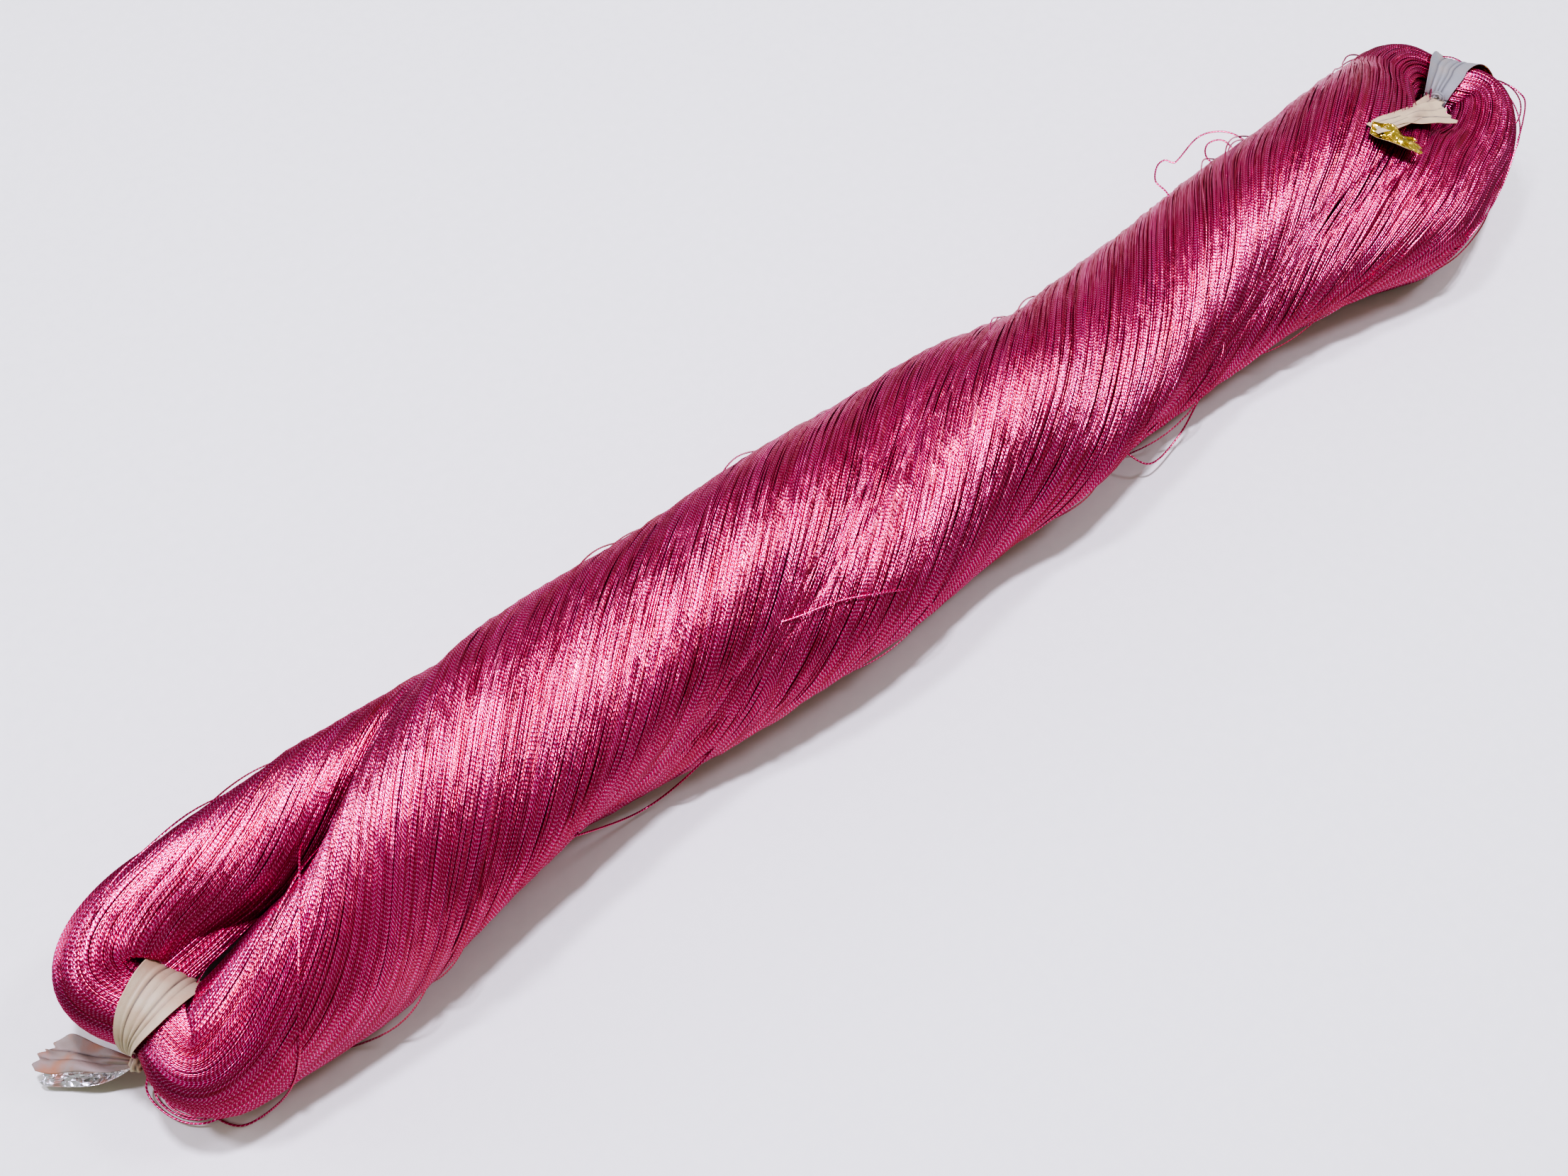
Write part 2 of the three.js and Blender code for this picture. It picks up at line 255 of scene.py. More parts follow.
# %% The stations
COLUMNS = ["x", "spread", "outer", "inner", "thick", "square", "parting", "twist", "side"]
STATIONS = np.array([
    [-175, 12.3, 9.8, 10.4, 14.2, 2.3, 2.0, 13, 0.7],
    [-150, 12.3, 9.8, 10.4, 14.2, 2.3, 2.0, 13, 0.7],
    [-140, 11.8, 10.8, 11.6, 15.2, 2.5, 2.2, 8, 0.5],
    [-128, 10.2, 12.2, 9.9, 16.4, 3.0, 2.0, -6, 0.2],
    [-112, 8.0, 13.4, 7.8, 17.4, 4.5, 1.0, -36, 0.8],
    [-92, 6.2, 13.8, 6.0, 18.6, 6.0, 0.0, -66, 2.4],
    [-75, 5.6, 13.6, 5.4, 18.4, 6.0, 0.0, -88, 2.4],
    [-55, 5.5, 14.2, 5.3, 18.4, 6.0, 0.0, -117, 0.6],
    [-28, 5.5, 16.0, 5.3, 18.6, 6.0, 0.0, -154, -0.2],
    [5, 5.5, 14.0, 5.3, 17.6, 6.0, 0.0, -196, 0.8],
    [24, 5.5, 13.9, 5.3, 17.8, 6.0, 0.0, -225, -0.4],
    [38, 5.5, 13.0, 5.3, 17.0, 6.0, 0.0, -247, 0.3],
    [52, 5.5, 12.1, 5.3, 16.2, 6.0, 0.0, -269, 0.9],
    [68, 5.7, 11.8, 5.5, 15.7, 6.0, 0.0, -292, 1.6],
    [90, 6.8, 12.2, 6.6, 15.8, 7.0, 0.0, -316, 2.0],
    [108, 8.4, 12.5, 8.2, 15.8, 7.0, 0.0, -329, 0.4],
    [124, 10.4, 13.0, 10.2, 15.6, 6.5, 0.0, -340, -0.6],
    [134, 11.4, 11.8, 11.1, 15.0, 5.0, 0.0, -347, 0.6],
    [141, 11.8, 10.4, 8.8, 14.6, 3.0, 0.0, -352, 2.2],
    [170, 11.8, 10.4, 8.8, 14.6, 3.0, 0.0, -354, 8.0],
])
OUTER_ROUNDNESS = 2.2  # the power of a section's outer side, where 2 is round
SETTLE, KINK = 1.6, 0.12  # mm pressed flat on the table, and how softly the axis rises and falls
SHIFT = np.array([9.669, -0.341, 0])  # moves the stations' frame to the middle of the part's base


def station(x):
    """Every column at x: a cubic through the rows, its slope at a row taken from the two neighbours."""
    rows, last = STATIONS, len(STATIONS) - 1
    high = np.clip(np.searchsorted(rows[:, 0], x, side="right"), 1, last)
    a, b = rows[high - 1], rows[high]
    before, after = rows[np.maximum(high - 2, 0)], rows[np.minimum(high + 1, last)]
    length = (b - a)[..., :1]
    p = np.clip((np.asarray(x)[..., None] - a[..., :1]) / length, 0, 1)
    slope_a = length * (b - before) / (b - before)[..., :1]
    slope_b = length * (after - a) / (after - a)[..., :1]
    return dict(zip(COLUMNS, np.moveaxis(cubic(p, a, b, slope_a, slope_b), -1, 0)))


def twisted(x, w, t):
    """From the flat loop, x along, w across and t up, to the table: turned about the axis by the
    twist at x and raised so that the lower leg settles on the table."""
    s = station(x)
    cos, sin = np.cos(np.radians(s["twist"])), np.sin(np.radians(s["twist"]))
    under = s["spread"] * (np.hypot(sin, KINK) - KINK) + np.hypot(s["outer"] * sin, s["thick"] * cos)
    across = w + s["parting"] * np.maximum(0, 1 - (w / (s["spread"] + s["outer"])) ** 2)
    y = s["side"] + across * cos - t * sin
    z = under - SETTLE + across * sin + t * cos
    return np.stack([x, y, np.maximum(z, 0)], -1) + SHIFT


print(f"{len(STATIONS)} stations from x {STATIONS[0, 0]:.0f} to {STATIONS[-1, 0]:.0f} mm")

# %% The end loops
NEAR = dict(  # which end, where it starts and how far it reaches, then how the tie squeezes it
    end=-1, start=150, reach=15.8, lean=-0.15, lobe=2.6,
    tied=1.28, notch=4.2, waist=6.6, waist_thick=11.2,
)
FAR = dict(
    end=1, start=141, reach=16.4, lean=-0.2, lobe=0,
    tied=1.3, notch=3.6, waist=7.8, waist_thick=12.0,
)
PINCH = math.radians(42)  # how far round the loop the squeeze goes
LOBE_AT, LOBE_SPAN, LOBE_ASIDE = 0.65, 0.4, 0.85  # in radians, and its share across
NUDGE = 1e-3  # radians to either side, for the direction of the loop


def outline(u, ring, lift=0.0):
    """A D-shaped section at the angle u: a power of the cosine outwards and of the sine upwards, with
    one roundness on the outer side and another on the inner."""
    cos, sin = np.cos(u), np.sin(u)
    power = np.where(cos > 0, 2 / OUTER_ROUNDNESS, 2 / ring["square"])
    n = np.sign(cos) * np.abs(cos) ** power * (np.where(cos > 0, ring["outer"], ring["inner"]) + lift)
    return n, np.sign(sin) * np.abs(sin) ** power * (ring["thick"] + lift)


def leg_rings(hand, x):
    """Rings along a straight leg: centre, direction outwards and section."""
    s = station(x)
    sizes = {key: s[key] for key in ("outer", "inner", "thick", "square")}
    return dict(x=x, w=hand * s["spread"], out_x=0 * x, out_w=hand + 0 * x, **sizes)


def loop_rings(loop, psi):
    """Rings round an end loop: half an ellipse from leg to leg, swollen to a lobe on one side, and
    pulled in and squeezed by the tie."""
    s = station(np.array(float(loop["end"] * loop["start"])))

    def squeeze(a):
        """1 at the tie, and a bell curve down to 0 on both sides of it."""
        return np.exp(-(((a - loop["tied"]) / PINCH) ** 2))

    def centre(a):
        """X and w of the half ellipse, with the lobe, the notch and the lean."""
        lobe = loop["lobe"] * np.exp(-(((a - LOBE_AT) / LOBE_SPAN) ** 2))
        w = loop["end"] * (s["spread"] * np.cos(a) + LOBE_ASIDE * lobe)
        past = loop["reach"] * np.sin(a) + lobe - loop["notch"] * squeeze(a)
        return loop["end"] * (loop["start"] + past) + loop["lean"] * w * np.sin(a), w

    def mix(wide, narrow):
        """From the leg's size to the waist's in proportion to the squeeze."""
        return wide + (narrow - wide) * squeeze(psi)

    (x, w), (xa, wa), (xb, wb) = centre(psi), centre(psi - NUDGE), centre(psi + NUDGE)
    length = np.hypot(xb - xa, wb - wa)
    return dict(
        x=x, w=w, out_x=-(wb - wa) / length, out_w=(xb - xa) / length,
        outer=mix(s["outer"], loop["waist"]), inner=mix(s["inner"], loop["waist"]),
        thick=mix(s["thick"], loop["waist_thick"]), square=s["square"] + 0 * psi,
    )


def on_ring(ring, n, t):
    """The place on the table of a point n outwards and t up from a ring's centre."""
    return twisted(ring["x"] + n * ring["out_x"], ring["w"] + n * ring["out_w"], t)


print(f"two end loops, {NEAR['reach']} and {FAR['reach']} mm deep")

# %% [markdown]
# ## The way round the skein
# A thread goes up one leg, round the far loop, back down the other leg and round the near loop. Each one
# could have a way of its own, but one list of rings serves all of them: a thread is only a place on each
# ring's edge. The way starts and ends under the near tie, so that no thread's end shows.

# %% Rings all the way round
LEG_STEP, TURN_STEP = 3.0, 0.065  # in mm along a leg, and in radians round a loop


def stretch(start, end, step):
    """Even steps from start up to but not including end."""
    count = round(abs(end - start) / step)
    return np.linspace(start, end, count, endpoint=False)


def way_round(leg_step, turn_step):
    """Rings once round the whole skein, from the near tie to the near tie."""
    parts = [
        loop_rings(NEAR, stretch(NEAR["tied"], math.pi, turn_step)),
        leg_rings(1, stretch(-NEAR["start"], FAR["start"], leg_step)),
        loop_rings(FAR, stretch(0, math.pi, turn_step)),
        leg_rings(-1, stretch(FAR["start"], -NEAR["start"], leg_step)),
        loop_rings(NEAR, np.append(stretch(0, NEAR["tied"], turn_step), NEAR["tied"])),
    ]
    return {key: np.concatenate([part[key] for part in parts])[:, None] for key in parts[0]}


rings = way_round(LEG_STEP, TURN_STEP)
RINGS = len(rings["x"])
middles = on_ring(rings, 0.0 * rings["x"], 0.0 * rings["x"])[:, 0]
along = lengths(middles)
print(f"{RINGS} rings, {along[-1]:.0f} mm round the skein")

# %% Sections measured round their edge
def measured_sections(rings, count=720):
    """Each ring's outline as a fine line: how far round it each point is, from 0 to 1, its place n
    and t, and the direction outwards."""
    n, t = outline(np.linspace(0, 2 * math.pi, count + 1)[None], rings)
    steps = np.hypot(np.diff(n), np.diff(t))
    far = np.concatenate([0 * n[:, :1], np.cumsum(steps, 1)], 1)
    dn, dt = np.gradient(n, axis=1), np.gradient(t, axis=1)
    size = np.maximum(np.hypot(dn, dt), 1e-9)
    return far / far[:, -1:], n, t, dt / size, -dn / size, far[:, -1]


share, edge_n, edge_t, out_n, out_t, perimeter = measured_sections(rings)


def on_skein(v, lift, rows=slice(None)):
    """Places v of the way round the edge of some rings, lifted off it. Arrays are rings by threads."""
    def read(table):
        """A table's values at the places v of each ring, in proportion between its points."""
        ways = zip(v, share[rows], table[rows])
        return np.stack([np.interp(a % 1, s, row) for a, s, row in ways])

    n = read(edge_n) + lift * read(out_n)
    t = read(edge_t) + lift * read(out_t)
    return on_ring({key: value[rows] for key, value in rings.items()}, n, t)


print(f"a leg is {perimeter.min():.0f} to {perimeter.max():.0f} mm round")

# %% [markdown]
# ## The threads
# The real thread is about 0.4 mm thick and lies side by side with its neighbours in loose groups. A
# hair system could grow it, but it wouldn't follow the twist, so each thread is a thin three-sided tube
# along its own line on the skein. The lines roll slowly round the leg, bunch into groups, and wander.

# %% How the threads lie
THREADS, RADIUS = 276, 0.195  # side by side round a leg, and each one's radius in mm
chance = np.random.default_rng(7)
ROLL = np.array([  # x, and radians a mm that the threads turn there
    (-150, 0.045), (-130, 0.025), (-110, 0.024), (-90, 0.036), (-70, 0.038),
    (-50, 0.026), (-30, 0.023), (-10, 0.028), (10, 0.026), (30, 0.016),
    (50, 0.028), (70, 0.048), (90, 0.043), (110, 0.025), (141, 0.014),
])
LOOP_SHARE = 0.3  # of that rate, in the end loops
EASE = 6  # rings on either side over which the rate is smoothed, so that no thread has a kink


def rolled(x, steps):
    """How far the lines have turned round the leg, as a share of a turn: the rate at x, less in the
    end loops, smoothed and added up."""
    rate = np.interp(x, *ROLL.T) / (2 * math.pi)
    rate[np.abs(np.diff(x, append=x[-1])) < 0.5 * LEG_STEP] *= LOOP_SHARE
    window = np.ones(2 * EASE + 1) / (2 * EASE + 1)
    rate = np.convolve(np.pad(rate, EASE, mode="edge"), window, mode="valid")
    return np.append(0, np.cumsum((rate * steps)[:-1]))


def waves(v, far, count, round_it, along_it):
    """Smooth noise: a sum of sine waves over the skein's surface, of seeded lengths round and along it."""
    around = chance.integers(round_it[0], round_it[1], count)
    lengthwise = chance.uniform(-1, 1, count) / chance.uniform(*along_it, count)
    phase = chance.uniform(0, 2 * math.pi, count)
    each = zip(around, lengthwise, phase)
    total = sum(np.sin(2 * math.pi * (m * v + k * far) + p) for m, k, p in each)
    return total / math.sqrt(count)


turned = rolled(rings["x"][:, 0], np.append(np.diff(along), 0))
turned *= round(turned[-1] * THREADS) / (turned[-1] * THREADS)  # whole places, so that the ends meet
# 0 under the near tie, where the ends meet, and 1 half-way round
settled = np.sin(math.pi * along / along[-1])[:, None] ** 0.5
print(f"the threads roll {turned[-1]:.2f} of a turn round the skein")

# %% Tubes along lines
FLATTEN = 0.9  # how far a thread's normals lean outwards: foil lies flatter than a round wire
LOWEST = 0.02  # mm that every thread stays above the table


def tubes(name, lines, outwards, radius, sides=3):
    """A tube along each line: at each point, a ring of sides points at the radius, the first of them
    outwards, square to the line. U is the length along the thread in mm and V goes round it. The radius
    is one number, or one for every point (threads, points)."""
    count, steps = lines.shape[:2]
    ahead = unit(np.gradient(lines, axis=1))
    top = unit(outwards - ahead * np.sum(outwards * ahead, 2, keepdims=True))
    side = np.cross(ahead, top)
    angle = 2 * math.pi * np.arange(sides) / sides
    profile = np.cos(angle)[:, None] * top[:, :, None] + np.sin(angle)[:, None] * side[:, :, None]
    points = lines[:, :, None] + np.broadcast_to(radius, (count, steps))[..., None, None] * profile
    points[..., 2] = np.maximum(points[..., 2], LOWEST)
    starts = np.arange(count) * steps * sides
    quads = grid_quads(steps, sides, around=True)[None] + starts[:, None, None]
    long = lengths(lines)
    i, j = np.arange(steps - 1)[:, None], np.arange(sides)[None]
    u = np.stack([long[:, i], long[:, i], long[:, i + 1], long[:, i + 1]], -1)
    u = np.broadcast_to(u, (count, steps - 1, sides, 4))
    v = np.broadcast_to(np.stack([j, j + 1, j + 1, j], -1) / sides, u.shape)
    tone = np.repeat(chance.random(count), steps * sides)
    uv = np.stack([u, v], -1).reshape(-1, 2)
    normals = unit(profile + FLATTEN * top[:, :, None]).reshape(-1, 3)
    return put_mesh(name, points.reshape(-1, 3), quads.reshape(-1, 4), uv, {"tone": tone}, normals)


# %% The layer of threads
BUNDLES, SPREAD = 4, (0.9, 1.15)  # and the range of radii, as shares of the usual one
OUT_STEP = 0.2  # mm over which the direction outwards is measured


def thread_lines(v, lift, rows=slice(None)):
    """Centre lines of threads (threads, rings, 3) and the directions outwards: the way from each place
    to the one a step further off the skein."""
    here, above = on_skein(v, lift, rows), on_skein(v, lift + OUT_STEP, rows)
    return here.swapaxes(0, 1), (above - here).swapaxes(0, 1)


first = (np.arange(THREADS) + 0.5)[None] / THREADS
far = along[:, None]
# Sideways, in threads' widths: broad groups, narrow groups and each thread's own wander
sideways = 0.8 * waves(first, far, 9, (9, 24), (90, 400))
sideways += 0.9 * waves(first, far, 9, (30, 80), (60, 300))
sideways += 0.9 * waves(chance.random((1, THREADS)), far, 6, (1, 9), (25, 90))
v = first - turned[:, None] + settled * sideways / THREADS
# Up and down, in mm: each thread's own, broad groups and narrow groups
rise = 0.09 * waves(chance.random((1, THREADS)), far, 5, (1, 9), (20, 90))
rise += 0.10 * waves(first, far, 9, (5, 20), (80, 300))
rise += 0.12 * waves(first, far, 9, (30, 80), (60, 200))
lift = settled * rise - RADIUS
lines, outwards = thread_lines(v, lift)
thick = RADIUS * chance.uniform(*SPREAD, (THREADS, 1))
bundles = []
for number, part in enumerate(np.array_split(np.arange(THREADS), BUNDLES), 1):
    bundles.append(tubes(f"threads_{number}", lines[part], outwards[part], thick[part]))
quads = sum(len(bundle.data.polygons) for bundle in bundles)
print(f"{THREADS} threads in {len(bundles)} bundles, {quads} quads")

# %% [markdown]
# ## Loose threads on top
# A skein is wound by hand, so some threads lie across the others and dip under them again. They could be
# drawn one by one, but the same formula makes them: they take the same way round, wander further
# sideways, and rise above the layer only for a part of their length.

# %% The loose threads
LOOSE, WANDER = 64, 5.0  # how many, and how far sideways in threads' widths
HIGHEST = 0.12  # mm off the skein

first = chance.random((1, LOOSE))
sideways = WANDER * waves(chance.random((1, LOOSE)), far, 6, (1, 9), (90, 260))
v = first - turned[:, None] + settled * sideways / THREADS
rise = 0.28 * waves(chance.random((1, LOOSE)), far, 5, (1, 9), (60, 160)) - 0.05
lines, outwards = thread_lines(v, np.minimum(settled * rise - RADIUS, HIGHEST))
bundles.append(tubes("loose_threads", lines, outwards, RADIUS))
print(f"{LOOSE} loose threads")

# %% [markdown]
# ## Threads across the seam
# Where the two legs press together, threads slip from one onto the other, so the real seam is a shallow
# valley and not a slit. A smooth skin could bridge it, but it would look like a patch. So short threads
# are laid across it at the same slant as those of the legs. Both of their ends dive into the layer, so
# that none is seen to stop.

# %% The seam
SEAM_THREADS, SEAM_STEPS = 340, 15
SEAM_FROM, SEAM_TO = -106, 136  # x of the first and of the last
HALF_LONG, SLANT = (7, 12), (0.26, 0.34)  # ranges of half their length and of their slant
VALLEY = 0.69  # how far towards the legs' flat inner sides the threads follow the outline
DIVE = 0.9  # mm that the ends go under
JITTER, OFFSET, RISE = 0.6, 0.2, (-0.25, 0.1)  # mm along, across and up that each is off its place


def across_seam(face):
    """Lines over the seam on one face of the hank: x along it, w across it in proportion, and t on the
    legs' outline, which is a power curve, but never deeper than the valley."""
    s = np.linspace(-1, 1, SEAM_STEPS)[None]
    column = (SEAM_THREADS, 1)
    x = np.linspace(SEAM_FROM, SEAM_TO, SEAM_THREADS)[:, None] + chance.uniform(-JITTER, JITTER, column)
    half = chance.uniform(*HALF_LONG, column)
    slant = face * chance.uniform(*SLANT, column)
    x, w = x + half * s, chance.normal(0, OFFSET, column) + slant * half * s
    here = station(x)
    inward = np.minimum(np.abs(here["spread"] - np.abs(w)) / here["inner"], VALLEY)
    t = here["thick"] * (1 - inward ** here["square"]) ** (1 / here["square"])
    t = t + chance.uniform(*RISE, column) - DIVE * np.abs(s) ** 5
    lines = twisted(x, w, face * t)
    return lines, twisted(x, w, face * (t + 1)) - lines


both = [across_seam(face) for face in (1, -1)]
lines, outwards = (np.concatenate(part) for part in zip(*both))
bundles.append(tubes("seam_threads", lines, outwards, RADIUS))
print(f"{len(lines)} threads across the seam")

# %% [markdown]
# ## Inside the eyes
# The eye at each end is not an open hole: slack threads of the upper leg hang in it, gathered at the tie
# and spread towards the twist. Cloth simulation could hang them, but they are almost taut, so they are
# straight lines from a short row of points to a longer one, sagging a little.

# %% The threads in the eyes
EYE_THREADS, EYE_STEPS = 80, 16
SAG, SCATTER = 1.5, 0.12  # mm that they hang down, and that each is off its place in the row
EYE_FACING = np.array([0, -0.6, 0.8])  # outwards, in the flat loop's x, w and t
EYES = np.array([  # for each eye: x, w and t of a row's two ends at the tie, and at the twist
    [[(-161.0, 7.0, 11.5), (-161.0, -3.0, 5.0)], [(-127.0, 11.0, 14.0), (-131.0, 2.0, 3.0)]],
    [[(151.0, 4.0, 8.5), (151.0, -4.0, 8.5)], [(127.0, 5.5, 13.0), (127.0, -5.5, 13.0)]],
])


def in_eye(tied, twist):
    """Straight lines from a row of points to another, lowered by a half sine."""
    i, s = np.linspace(0, 1, EYE_THREADS)[:, None, None], np.linspace(0, 1, EYE_STEPS)[None, :, None]
    start, end = tied[0] + i * (tied[1] - tied[0]), twist[0] + i * (twist[1] - twist[0])
    place = start + s * (end - start) + chance.normal(0, SCATTER, (EYE_THREADS, 1, 3))
    place[..., 2] -= SAG * np.sin(math.pi * s[..., 0])
    lines = twisted(*np.moveaxis(place, -1, 0))
    return lines, twisted(*np.moveaxis(place + EYE_FACING, -1, 0)) - lines


lines, outwards = (np.concatenate(part) for part in zip(*[in_eye(*eye) for eye in EYES]))
bundles.append(tubes("eye_threads", lines, outwards, RADIUS))
print(f"{len(lines)} threads in the eyes")

# %% [markdown]
# ## Stray threads
# A few threads have sprung off the hank: many low arcs, which show along its outline, and some longer
# ones. Hair dynamics could throw them off, but not to where they were seen. So the long ones are smooth
# curves through points. The arcs leave the layer and come back, so their height is a half sine along a
# piece of a thread's own way.

# %% The arcs
def smooth_line(rows, count):
    """A curve through rows of numbers: a cubic between each pair, its slopes from the neighbours."""
    rows = np.asarray(rows, float)
    at = np.linspace(0, len(rows) - 1, count)
    i = np.clip(at.astype(int), 0, len(rows) - 2)
    slope = np.gradient(rows, axis=0)
    return cubic((at - i)[:, None], rows[i], rows[i + 1], slope[i], slope[i + 1])


ARCS, STRAY_STEPS, STRAY_RADIUS = 130, 28, 0.9 * RADIUS
FEWEST, MOST, MARGIN = 7, 20, 8  # rings that an arc spans, and that it keeps from the way's ends
ARC_HEIGHT, ARC_ROOT = 2.4, 0.5  # mm off the skein at most, and under it at both ends
ARC_DRIFT = 0.012  # sideways, as a share of the way round a leg


def arc():
    """A short piece of a thread's way, off the skein by a half sine, and drifting sideways."""
    count, begin = chance.integers(FEWEST, MOST), chance.integers(MARGIN, RINGS - MOST - MARGIN)
    rows = slice(begin, begin + count)
    s = np.linspace(0, 1, count)[:, None]
    v = chance.random() - turned[rows, None] + chance.normal(0, ARC_DRIFT) * (s - 0.5)
    height = ARC_HEIGHT * chance.uniform(0.5, 1.0) ** 2
    line, out = thread_lines(v, height * np.sin(math.pi * s) ** 0.8 - ARC_ROOT, rows)
    return smooth_line(line[0], STRAY_STEPS), smooth_line(out[0], STRAY_STEPS)


lines, outwards = (np.stack(part) for part in zip(*[arc() for _ in range(ARCS)]))
steps = np.arange(STRAY_STEPS)[None]
pointed = np.minimum(1, steps * steps[:, ::-1])  # 0 at both ends of an arc and 1 between
bundles.append(tubes("arcs", lines, outwards, STRAY_RADIUS * pointed))
print(f"{ARCS} arcs")

# %% The long strays
STRAYS = [  # x, y and z of points along each, in the stations' frame
    [(-126, 9, 22), (-129.4, 4.6, 26.4), (-132.6, -2.2, 29.2), (-136.3, -8.8, 29.7), (-141.3, -16, 27.2),
     (-146.3, -21.4, 20), (-151.6, -21, 8), (-157.8, -19.2, 0.6), (-161.7, -18, 0.4),
     (-164, -13.7, 0.6), (-163, -9, 4)],
    [(78, 13, 25), (80.5, 19.1, 25), (81, 22.9, 25), (84.2, 25.6, 25), (86.7, 25.9, 25), (87.5, 24.4, 25),
     (88.9, 24.2, 25), (97, 26.2, 25), (102, 24.4, 25), (103.9, 20.5, 25), (103, 15, 25)],
    [(95, 14, 25), (94, 20.5, 25), (97, 23.5, 25), (100.5, 22, 25), (99, 15, 25)],
    [(160, 3, 20), (166, -1.1, 20), (166.6, -5, 20), (164, -8.5, 20.5), (152.8, -14.8, 21.8),
     (142.1, -20.4, 18), (128, -24.4, 17), (124, -22, 8)],
    [(-96, -17, 20), (-91.7, -18.4, 18), (-78.8, -15.5, 3), (-68.3, -17.8, 11), (-58, -17.5, 19)],
    [(40, -14, 6), (43.6, -19, 4), (53.1, -17.6, 4), (58.7, -16, 10.5)],
    [(-50, -11, 30), (-43.7, -13.9, 31.3), (-35.9, -15.8, 31), (-28.9, -18.4, 29.7), (-22, -20, 26)],
    [(-166, -3, 5), (-169.5, -5, 1.2), (-169.3, -8.7, 0.8), (-167.2, -12.3, 0.6), (-164, -14.3, 1),
     (-159, -14, 4)],
    [(-165, -4, 5), (-168.6, -7, 1.5), (-168, -10.5, 1.2), (-165.4, -13.2, 1.2), (-160, -13, 4)],
    [(-166, -2, 6), (-170.2, -4, 2), (-170, -8.5, 1.6), (-167.6, -13, 1.4), (-163.6, -15.4, 1.6),
     (-158, -15, 4)],
]

lines = np.stack([smooth_line(rows, 2 * STRAY_STEPS) for rows in STRAYS]) + SHIFT
upwards = np.zeros_like(lines) + (0, 0, 1)
bundles.append(tubes("long_strays", lines, upwards, STRAY_RADIUS, sides=5))
print(f"{len(STRAYS)} long strays")

# %% [markdown]
# ## Under the threads
# Between the threads one sees more threads, in shade. More layers could be laid there, but hardly any of
# them would show. So a plain inner skin half a millimetre down closes the gaps, and no light comes
# through the hank. It has no tone of its own, so the foil's finish paints it in the darker thread colour
# all over: painted shade for the threads deep in the gaps.

# %% The inner skin
CORE_SIDES, CORE_DEPTH = 72, 0.48

core_v = np.arange(CORE_SIDES)[None] / CORE_SIDES - turned[:, None]
core_points = on_skein(core_v, -CORE_DEPTH)[:-1].reshape(-1, 3)
core_quads = grid_quads(RINGS, CORE_SIDES, around=True) % len(core_points)
i, j = np.divmod(np.arange(len(core_quads)), CORE_SIDES)
core_u = along[np.stack([i, i, i + 1, i + 1], -1)]
core_v = np.stack([j, j + 1, j + 1, j], -1) / CORE_SIDES
# painted shade: with no tone attribute, the skin takes the foil's darker colour throughout
core = put_mesh("inner_threads", core_points, core_quads, np.stack([core_u, core_v], -1).reshape(-1, 2))
print("inner skin of", len(core_quads), "quads")

# %% [markdown]
# ## The foil wrap
# Each thread is a cotton core with a narrow strip of dyed foil wound round it, about one turn in 0.7 mm.
# The turns are too fine to model, so they are in the finish: the normal is slightly domed along each turn
# and has a small tilt of its own, which breaks the lamps' streaks into rows of single bright glints. The
# crest of each turn is also painted a paler colour: a painted glint, there under any light.

# %% The turns of the foil
WRAP = 0.7  # mm of thread to a turn of the foil
DOME, TILT, DRIFT = 0.06, 0.12, 0.13  # the normal's lean within a turn, from turn to turn, and slowly
APART = 300.0  # moves each thread's noise away from the others'


def foil_turns(tree, tone):
    """How many turns of foil there are up to each place, in radians: the length along the thread over
    a turn's length, the way round it, and a start of the thread's own. Also a random number for each
    turn, and a slow noise along the thread."""
    uv = put(tree, "ShaderNodeUVMap", uv_map="UVMap").outputs[0]
    split = put(tree, "ShaderNodeSeparateXYZ", {0: uv}).outputs
    apart = math_node(tree, "MULTIPLY", tone, APART)
    turns = math_node(tree, "ADD", math_node(tree, "DIVIDE", split["X"], WRAP), split["Y"])
    turns = math_node(tree, "ADD", turns, apart)
    whole = math_node(tree, "FLOOR", turns)
    number = put(tree, "ShaderNodeCombineXYZ", {0: whole, 1: apart}).outputs[0]
    each = put(tree, "ShaderNodeTexWhiteNoise", {"Vector": number}, noise_dimensions="2D")
    own = put(tree, "ShaderNodeCombineXYZ", {0: split["X"], 1: apart}).outputs[0]
    drift = ranged(tree, noise(tree, own, 0.16, 2.0), (0.3, 0.7))
    return math_node(tree, "MULTIPLY", turns, 2 * math.pi), each.outputs["Value"], drift


def foil_normal(tree, turns, each, drift):
    """A normal that leans along the thread: by the turn's own tilt, the slow noise and a sine."""
    lean = math_node(tree, "MULTIPLY_ADD", each, TILT, 0.5 - TILT / 2 - DRIFT / 2)
    lean = math_node(tree, "MULTIPLY_ADD", drift, DRIFT, lean)
    lean = math_node(tree, "MULTIPLY_ADD", math_node(tree, "SINE", turns), DOME, lean)
    colour = put(tree, "ShaderNodeCombineColor", {0: lean, 1: 0.5, 2: 1.0}).outputs[0]
    inputs = {"Color": colour, "Strength": 1.0}
    return put(tree, "ShaderNodeNormalMap", inputs, uv_map="UVMap").outputs[0]


